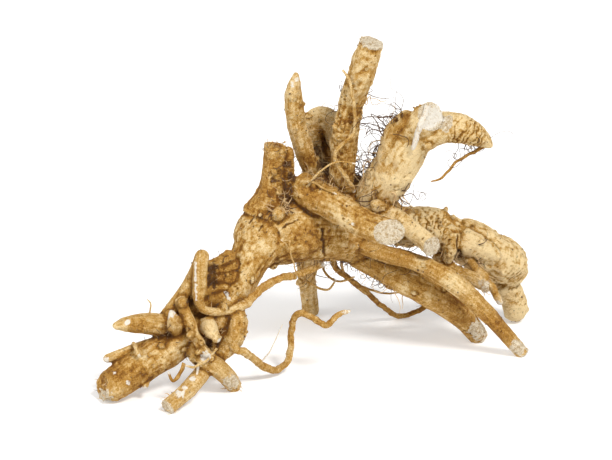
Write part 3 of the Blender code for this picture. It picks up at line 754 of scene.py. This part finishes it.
def carved(points, quads, skeleton):
    """The skin with its relief, and what the shader wants to know about every point of it."""
    edges = neighbours(quads)
    points = smoothed(points, edges, 0.5, SOFTEN_STEPS)
    _, margin = skeleton.nearest(points)
    in_crease = np.exp(-((margin / CREASE_WIDTH) ** 2))[:, None]
    points = smoothed(points, edges, 0.35 * in_crease, CREASE_STEPS)
    sample, margin = skeleton.nearest(points)
    crease = np.exp(-((margin / CREASE_WIDTH) ** 2))
    grain = skeleton.grain(points, sample)
    root = skeleton.root[sample]
    grain[:, 0] += ROOT_APART * root
    look = np.array([LOOKS.get(name, USUAL_LOOK) for name in skeleton.names])[root]
    tone, ringed, folded, knobbly = smoothed(look, edges, 0.7, LOOK_STEPS).T
    thick = np.clip(skeleton.radius[sample] / 12, 0.25, 1.3)
    normal = normals_of(points, quads)

    cut = cut_mask(points)
    porous = patch_mask(points, POROUS, SEED + 40)
    bare = patch_mask(points, BARE, SEED + 20, -0.2, 0.9)
    bare -= patch_mask(points, TANNED, SEED + 44, -0.3, 0.8)
    white = patch_mask(points, WHITENED, SEED + 24, 0.0, 0.45)
    # Dark patches: real stains, and painted shade in the web's hollow.
    stain_and_shade = patch_mask(points, STAINS_AND_SHADE, SEED + 30, 0.0, 0.7)
    slit = line_mask(points, SLITS)
    white = np.maximum(white, line_mask(points, STREAKS))
    warp = rough_noise(points / 9, 2, SEED + 1)[:, None] * (1.2, 3, 3)
    bark = grain + warp
    where_ringed = ramp(rough_noise(points / 16, 2, SEED + 5), -0.35, 0.5)
    where_folded = ramp(rough_noise(points / 14, 2, SEED + 8), -0.5, 0.4)
    folds = valleys(noise(bark / (26, 5, 5), SEED + 2), 0.5)
    wrinkles = valleys(noise(bark / (11, 2.6, 2.6), SEED + 9), 0.55)
    rings = valleys(noise(bark / (3.2, 12, 12), SEED + 3), 0.5)
    fine_rings = valleys(noise(bark / (1.7, 7, 7), SEED + 4), 0.6)
    lumps = rough_noise(points / 11, 3, SEED + 6)
    pebbles = rough_noise(points / 3.4, 2, SEED + 14)
    warts = ramp(spots(points / 6.5, 0.4, SEED + 7), 0.2, 0.75)
    small_warts = ramp(spots(points / 3.1, 0.3, SEED + 17), 0.25, 0.75)
    pores = ramp(spots(bark / (2.6, 5, 5), 0.16, SEED + 11), 0.45, 0.75)

    relief = 1.15 * thick * knobbly * lumps + 0.26 * knobbly * pebbles
    relief -= thick * folded * where_folded * (0.6 * folds + 0.2 * wrinkles)
    relief -= ringed * where_ringed * (0.36 * thick * rings + 0.16 * fine_rings)
    relief += knobbly * (0.35 * warts * (0.4 + thick) + 0.18 * small_warts)
    strong_rings, seams = ridges(points, grain)
    relief += strong_rings
    relief -= 0.4 * pores + 0.8 * stain_and_shade
    relief *= 1 - 0.8 * np.maximum(cut, white)
    fibres = rough_noise(points / 1.5, 2, SEED + 19)
    flesh = np.maximum(cut, porous)
    relief += 0.55 * flesh * fibres - 0.7 * slit
    points = points + normal * (relief - 0.25 * crease)[:, None]
    points[:, 2] = np.maximum(points[:, 2], 0)

    normal = normals_of(points, quads)
    # How sunk each point is, finely and broadly. The shader paints shade where the skin is sunk and
    # a highlight where it stands out.
    soft = smoothed(points, edges, 1.0, HOLLOW_STEPS)
    hollow = ((soft - points) * normal).sum(axis=1)
    soft = smoothed(soft, edges, 1.0, DEEP_STEPS)
    deep = ramp(((soft - points) * normal).sum(axis=1), 0.35, 1.6)
    wart_dirt = 0.4 * small_warts * (tone < 0.3)
    # Dark marks, mixed towards near-black brown in the shader: real stains, pores and wart tops,
    # the slits and ring valleys, and painted shade where patches darken the web's hollow.
    dirt_and_shade = np.maximum.reduce([stain_and_shade, slit, 0.75 * seams, 0.8 * pores, wart_dirt])
    facts = {
        "cut": flesh,
        "crease": deep * (0.35 + 0.65 * crease),
        "hollow": np.clip(0.5 + hollow / 0.8, 0, 1),
        "tone": tone,
        "bare": bare,
        "white": white,
        "dirt_and_shade": dirt_and_shade,
    }
    return points, grain, facts


def with_facts(made, facts, grain):
    """Stores the shader's facts and the straightened coordinates on the mesh's points."""
    for name, values in facts.items():
        layer = made.data.attributes.new(name, "FLOAT", "POINT")
        layer.data.foreach_set("value", values.astype(np.float32))
    layer = made.data.attributes.new("grain", "FLOAT_VECTOR", "POINT")
    layer.data.foreach_set("vector", (grain * MM).astype(np.float32).ravel())
    made.data.shade_smooth()


def make_bark(material):
    points, quads = fused_skin()
    points, grain, facts = carved(points, quads, Skeleton())
    made = mesh_object("root_bark", points, quads.tolist(), material)
    with_facts(made, facts, grain)
    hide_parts("horseradish_root")
    return made, points, normals_of(points, quads), facts


# ---- wiry rootlets


def make_rootlets(material):
    """The wiry roots, each a round tube with its own kinks, joined in one mesh."""
    meshes, grain, facts = [], [], []
    for number, (knots, tone) in enumerate(WIRY_ROOTS.values()):
        line = Line(knots, WIRY_STEP)
        kinks = np.stack([noise(line.middle / 5 + axis * 31, number) for axis in range(3)], axis=1)
        line.middle = line.middle + kinks * 0.5 * np.minimum(line.radius, 1.5)[:, None]
        rounded_tip(line)
        around = 14 if line.radius.max() > 1.8 else 8
        points, faces = tube(line, around)
        radius = np.repeat(line.radius, around)
        along = np.repeat(line.along, around)
        axis = np.repeat(line.middle, around, axis=0)
        beads = noise(np.stack([along / 1.6, along * 0, along * 0], axis=1), number)
        swelling = 0.16 * rough_noise(points / 3, 2, number) + 0.1 * beads
        points = axis + (points - axis) * (1 + swelling)[:, None]
        points[:, 2] = np.maximum(points[:, 2], LOWEST)
        meshes.append((points, faces))
        grain.append(np.stack([along + 300 * number, *(points - axis).T[:2]], axis=1))
        tip = ramp(along, along.max() - 3 - 2 * radius.max(), along.max())
        known = {
            # Painted shade and highlight: pinched stretches of a rootlet are darker, swollen ones
            # lighter.
            "hollow": 0.5 - 0.7 * swelling,
            "tone": tone,
            "bare": 0.7 * tip,
            "white": 0.9 * tip * (tone > -0.5) + (tone > 0.85),
        }
        facts.append([np.broadcast_to(known.get(fact, 0), len(points)) for fact in FACTS])
    made = mesh_object("wiry_rootlets", *joined(meshes), material)
    with_facts(made, dict(zip(FACTS, np.clip(np.hstack(facts), -1, 1))), np.vstack(grain))
    return made


# ---- root hairs and soil


def turned(vector, axis, angle):
    """The vector turned about the axis, both of length 1."""
    across = np.cross(axis, vector)
    kept = axis * (axis @ vector) * (1 - math.cos(angle))
    return vector * math.cos(angle) + across * math.sin(angle) + kept


def grown_hair(rng, start, normal, length):
    """A hair's path: it leaves the bark, then wanders and curls."""
    heading = unit(normal + 0.6 * rng.normal(size=3))
    axis = unit(rng.normal(size=3))
    curl = rng.uniform(0.03, 0.42)
    path = [start - normal * 0.6]
    for _ in range(max(4, int(length / GROWTH_STEP))):
        axis = unit(axis + 0.25 * rng.normal(size=3))
        heading = unit(turned(heading, axis, curl * GROWTH_STEP) + 0.07 * rng.normal(size=3))
        path.append(path[-1] + heading * GROWTH_STEP)
    return np.array(path)


def make_hairs(points, normals, crease, materials):
    """Tufts of fine root hair that grow from the bark, pale and dark ones in a mesh each."""
    rng = np.random.default_rng(SEED)
    tubes = {"pale": [], "dark": []}
    for middle, size, count, length, darkness in TUFTS:
        near = (np.abs((points - middle) / size) < 1).all(axis=1)
        if length > LONG_HAIR:
            near &= normals @ TOWARDS_VIEWER < 0.5
        found = np.flatnonzero(near)
        if len(found) == 0:
            continue
        weight = 0.08 + crease[found]
        for index in rng.choice(found, count, p=weight / weight.sum()):
            start, normal = points[index], normals[index]
            path = grown_hair(rng, start, normal, length * rng.uniform(0.35, 1.3))
            path[:, 2] = np.maximum(path[:, 2], HAIR_FLOOR)
            colour = "dark" if rng.random() < darkness else "pale"
            radius = rng.uniform(0.17, 0.34) + 0.2 * (rng.random() < 0.18)
            radius = radius * (1.15 if length > LONGEST_HAIR else 1)
            taper = np.linspace(1, 0.35, len(path)) * radius
            tubes[colour].append(tube(Line(np.column_stack([path, taper]), HAIR_STEP), 4))
    made = []
    for colour, meshes in tubes.items():
        hair = mesh_object(f"root_hairs_{colour}", *joined(meshes), materials[colour])
        hair.data.shade_smooth()
        made.append(hair)
    return made


def make_crumbs(points, normals, facts, material):
    """Crumbs of soil that stick in creases and hollows."""
    rng = np.random.default_rng(SEED + 1)
    ball, ball_faces = small_ball()
    crevice = facts["crease"] + 1.5 * facts["dirt_and_shade"] + 2 * np.clip(facts["hollow"] - 0.62, 0, 1)
    chance = np.clip(crevice * (1.1 - facts["tone"]) - 0.45, 0, None)
    chance[facts["cut"] > 0.3] = 0
    chance += 0.03
    meshes = []
    for index in rng.choice(len(points), CRUMB_COUNT, p=chance / chance.sum()):
        size = rng.uniform(*CRUMB_SIZE)
        crumb = ball * rng.uniform(0.6, 1.25, (len(ball), 1)) * rng.uniform(0.6, 1.3, 3)
        heart = points[index] + normals[index] * 0.3 * size
        meshes.append((heart + crumb * size, ball_faces))
    placed_points, faces = joined(meshes)
    placed_points[:, 2] = np.maximum(placed_points[:, 2], LOWEST)
    return mesh_object("soil_crumbs", placed_points, faces, material)


def small_ball():
    """The points and faces of a small ball."""
    ball = bmesh.new()
    bmesh.ops.create_icosphere(ball, subdivisions=1, radius=1)
    points = np.array([v.co[:] for v in ball.verts])
    faces = [[v.index for v in face.verts] for face in ball.faces]
    ball.free()
    return points, faces


# ---- materials


class Nodes:
    """Short calls that add shader nodes and link them."""

    def __init__(self, name):
        self.material = bpy.data.materials.new(name)
        self.material.use_nodes = True
        self.tree = self.material.node_tree
        self.shader = self.tree.nodes["Principled BSDF"]

    def put(self, socket, value):
        if isinstance(value, bpy.types.NodeSocket):
            self.tree.links.new(value, socket)
        else:
            socket.default_value = value

    def add(self, kind, inputs=(), **settings):
        node = self.tree.nodes.new(kind)
        for name, value in settings.items():
            setattr(node, name, value)
        for key, value in dict(inputs).items():
            self.put(node.inputs[key], value)
        return node

    def fact(self, name):
        return self.add("ShaderNodeAttribute", attribute_name=name).outputs["Fac"]

    def noise_at(self, place, scale, detail, roughness):
        scaled = self.add("ShaderNodeVectorMath", {0: place, 1: scale}, operation="MULTIPLY")
        inputs = {"Vector": scaled.outputs[0], "Scale": 1.0, "Detail": detail}
        return self.add("ShaderNodeTexNoise", {**inputs, "Roughness": roughness}).outputs["Fac"]

    def noise(self, scale, detail, roughness=0.55):
        """Noise that is the same in all directions."""
        place = self.add("ShaderNodeTexCoord").outputs["Object"]
        return self.noise_at(place, (scale,) * 3, detail, roughness)

    def grain_noise(self, along, across, roughness):
        """Noise that follows the root it is on, with its own scale along and across it."""
        place = self.add("ShaderNodeAttribute", attribute_name="grain").outputs["Vector"]
        return self.noise_at(place, (along, across, across), 4, roughness)

    def math(self, operation, a, b, c=0.0):
        return self.add("ShaderNodeMath", {0: a, 1: b, 2: c}, operation=operation).outputs[0]

    def between(self, value, low, high, to_low=0.0, to_high=1.0):
        """The value's way from low to high, as a smooth way from to_low to to_high."""
        inputs = {"From Min": low, "From Max": high, "To Min": to_low, "To Max": to_high}
        inputs["Value"] = value
        node = self.add("ShaderNodeMapRange", inputs, interpolation_type="SMOOTHSTEP")
        return node.outputs["Result"]

    def mix(self, share, a, b):
        node = self.add("ShaderNodeMix", data_type="RGBA")
        self.put(node.inputs["Factor"], share)
        for socket, value in ((node.inputs[6], a), (node.inputs[7], b)):
            self.put(socket, value if isinstance(value, bpy.types.NodeSocket) else (*value, 1.0))
        return node.outputs[2]


BROWN = (0.20, 0.078, 0.013)
TAN = (0.44, 0.208, 0.034)
STRAW = (0.62, 0.365, 0.098)
CREAM = (0.92, 0.71, 0.385)
OCHRE = (0.47, 0.25, 0.055)
FLESH = (0.84, 0.745, 0.575)
CHALK = (0.92, 0.87, 0.77)
# The next colour is for the dark marks: real soil and stains, and painted shade in the web's
# hollow.
SOIL_AND_SHADE = (0.072, 0.030, 0.009)
RUST = (0.36, 0.15, 0.03)
# The next colour is the painted shade of the creases.
CREASE_SHADE = (0.13, 0.05, 0.012)
FIBRE_BROWN = (0.52, 0.35, 0.16)
FLESH_SPECK = (0.40, 0.26, 0.12)
# The next colour is the painted shade of the cut flesh's hollows.
FLESH_SHADE = (0.34, 0.20, 0.08)
HAIR_STRAW = ((0.45, 0.28, 0.12), (0.70, 0.50, 0.26))
HAIR_BROWN = ((0.028, 0.011, 0.003), (0.13, 0.055, 0.016))
CRUMB_BROWN = ((0.04, 0.018, 0.007), (0.20, 0.10, 0.035))


def bark_material():
    n = Nodes("bark")
    hollow = n.fact("hollow")
    crease = n.fact("crease")
    broad = n.noise(55, 4)
    blotch = n.noise(230, 5, 0.65)
    speck = n.noise(1150, 4, 0.75)
    streak = n.grain_noise(60, 480, 0.6)
    bands = n.grain_noise(560, 110, 0.65)

    light = n.between(broad, 0.3, 0.7, 0.30, 0.58)
    light = n.math("MULTIPLY_ADD", n.fact("tone"), 0.27, light)
    for value, low, high, at_low, at_high in (
        # Painted shade and highlight: darker in the hollows, lighter on the ridges.
        (hollow, 0.2, 0.85, 0.28, -0.40),
        (blotch, 0.3, 0.7, -0.12, 0.12),
        (streak, 0.3, 0.7, -0.17, 0.17),
        (bands, 0.3, 0.7, -0.09, 0.09),
        (speck, 0.36, 0.64, -0.28, 0.28),
    ):
        light = n.math("ADD", light, n.between(value, low, high, at_low, at_high))
    light = n.math("MULTIPLY_ADD", n.fact("bare"), 0.36, light)
    colour = BROWN
    for low, high, lighter in ((-0.15, 0.28, TAN), (0.22, 0.56, STRAW), (0.52, 0.98, CREAM)):
        colour = n.mix(n.between(light, low, high), colour, lighter)
    bare = n.between(n.fact("bare"), -0.2, 0.6, 1.0, 0.15)
    ochre = n.between(n.noise(150, 6, 0.72), 0.50, 0.66, 0.0, 0.62)
    ochre = n.math("MULTIPLY", ochre, n.between(bare, 0.15, 1.0, 0.45, 1.0))
    colour = n.mix(ochre, colour, OCHRE)
    rust = n.between(n.noise(95, 6, 0.75), 0.54, 0.70, 0.0, 0.45)
    colour = n.mix(n.math("MULTIPLY", rust, bare), colour, RUST)
    colour = n.mix(n.between(speck, 0.58, 0.66, 0.0, 0.7), colour, BROWN)
    # Painted shade in the creases between roots and in the broad hollows, towards a deep brown.
    shadow = n.math("MULTIPLY", crease, n.between(blotch, 0.3, 0.6, 0.45, 1.0))
    colour = n.mix(n.math("MULTIPLY", shadow, 0.85), colour, CREASE_SHADE)
    # Dark marks towards near-black brown: real stains, pores and soil, and painted shade in the
    # web's hollow.
    colour = n.mix(n.math("MULTIPLY", n.fact("dirt_and_shade"), 0.78), colour, SOIL_AND_SHADE)

    flesh = n.mix(n.between(n.noise(420, 5, 0.7), 0.34, 0.56), FIBRE_BROWN, FLESH)
    flesh = n.mix(n.between(speck, 0.51, 0.60, 0.0, 0.85), flesh, FLESH_SPECK)
    # Painted shade: the cut flesh darkens in its hollows.
    flesh = n.mix(n.between(hollow, 0.60, 0.90, 0.0, 0.7), flesh, FLESH_SHADE)
    ragged = n.between(n.noise(520, 5, 0.75), 0.32, 0.68, -0.5, 0.5)
    cut = n.math("ADD", n.fact("cut"), n.math("MULTIPLY", ragged, 0.6))
    colour = n.mix(n.between(cut, 0.35, 0.65), colour, flesh)
    white = n.math("ADD", n.fact("white"), ragged)
    colour = n.mix(n.between(white, 0.35, 0.95, 0.0, 0.9), colour, CHALK)

    fine = n.math("MULTIPLY", streak, 0.7)
    for value, share in ((bands, 0.8), (speck, 0.9), (n.noise(480, 5, 0.7), 0.9)):
        fine = n.math("ADD", fine, n.math("MULTIPLY", value, share))
    bump = n.add("ShaderNodeBump", {"Strength": 1.0, "Distance": 0.0019, "Height": fine})
    n.put(n.shader.inputs["Base Color"], colour)
    n.put(n.shader.inputs["Roughness"], n.between(blotch, 0.3, 0.7, 0.60, 0.85))
    n.put(n.shader.inputs["Normal"], bump.outputs["Normal"])
    n.shader.inputs["Specular IOR Level"].default_value = 0.12
    return n.material


def mottled_material(name, low, high):
    n = Nodes(name)
    n.put(n.shader.inputs["Base Color"], n.mix(n.noise(90, 2), low, high))
    n.shader.inputs["Roughness"].default_value = 0.7
    return n.material


def plain_material(name, colour, roughness):
    n = Nodes(name)
    n.shader.inputs["Base Color"].default_value = (*colour, 1.0)
    n.shader.inputs["Roughness"].default_value = roughness
    return n.material


# ---- stage


def make_stage():
    bpy.ops.mesh.primitive_circle_add(vertices=96, radius=FLOOR_RADIUS, fill_type="NGON")
    floor = bpy.context.object
    floor.name = "floor"
    white = plain_material("floor_white", (FLOOR_GREY,) * 3, 0.7)
    glow = white.node_tree.nodes["Principled BSDF"].inputs
    glow["Emission Color"].default_value = (1.0, 1.0, 1.0, 1.0)
    glow["Emission Strength"].default_value = FLOOR_GLOW
    floor.data.materials.append(white)


def light_stage():
    world = bpy.data.worlds.new("studio")
    world.use_nodes = True
    background = world.node_tree.nodes["Background"]
    background.inputs["Color"].default_value = (1.0, 1.0, 1.0, 1.0)
    background.inputs["Strength"].default_value = SKY_STRENGTH
    bpy.context.scene.world = world
    for name, (direction, strength, width) in LAMPS.items():
        lamp = bpy.data.lights.new(name, "SUN")
        lamp.energy, lamp.angle, lamp.color = strength, math.radians(width), LAMP_COLOUR
        made = placed(name, lamp)
        made.rotation_euler = Vector(direction).to_track_quat("Z", "Y").to_euler()
    bpy.context.scene.view_settings.view_transform = "Standard"


def make_camera():
    data = bpy.data.cameras.new("camera")
    data.lens, data.sensor_width = CAMERA_LENS, 36
    camera = placed("camera", data)
    slope = math.radians(CAMERA_ELEVATION)
    back = np.array([0, -math.cos(slope), math.sin(slope)])
    camera.location = np.array(CAMERA_TARGET) + CAMERA_DISTANCE * back
    camera.rotation_euler = (math.pi / 2 - slope, 0, 0)
    bpy.context.scene.camera = camera


def main():
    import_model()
    make_camera()
    light_stage()
    make_stage()
    bark = bark_material()
    add_knobs()
    skin, points, normals, facts = make_bark(bark)
    hairs = make_hairs(points, normals, facts["crease"], {
        "pale": mottled_material("hair_straw", *HAIR_STRAW),
        "dark": mottled_material("hair_brown", *HAIR_BROWN),
    })
    crumbs = make_crumbs(points, normals, facts, mottled_material("soil", *CRUMB_BROWN))
    for piece in (skin, make_rootlets(bark), *hairs, crumbs):
        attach(piece, "root")


main()
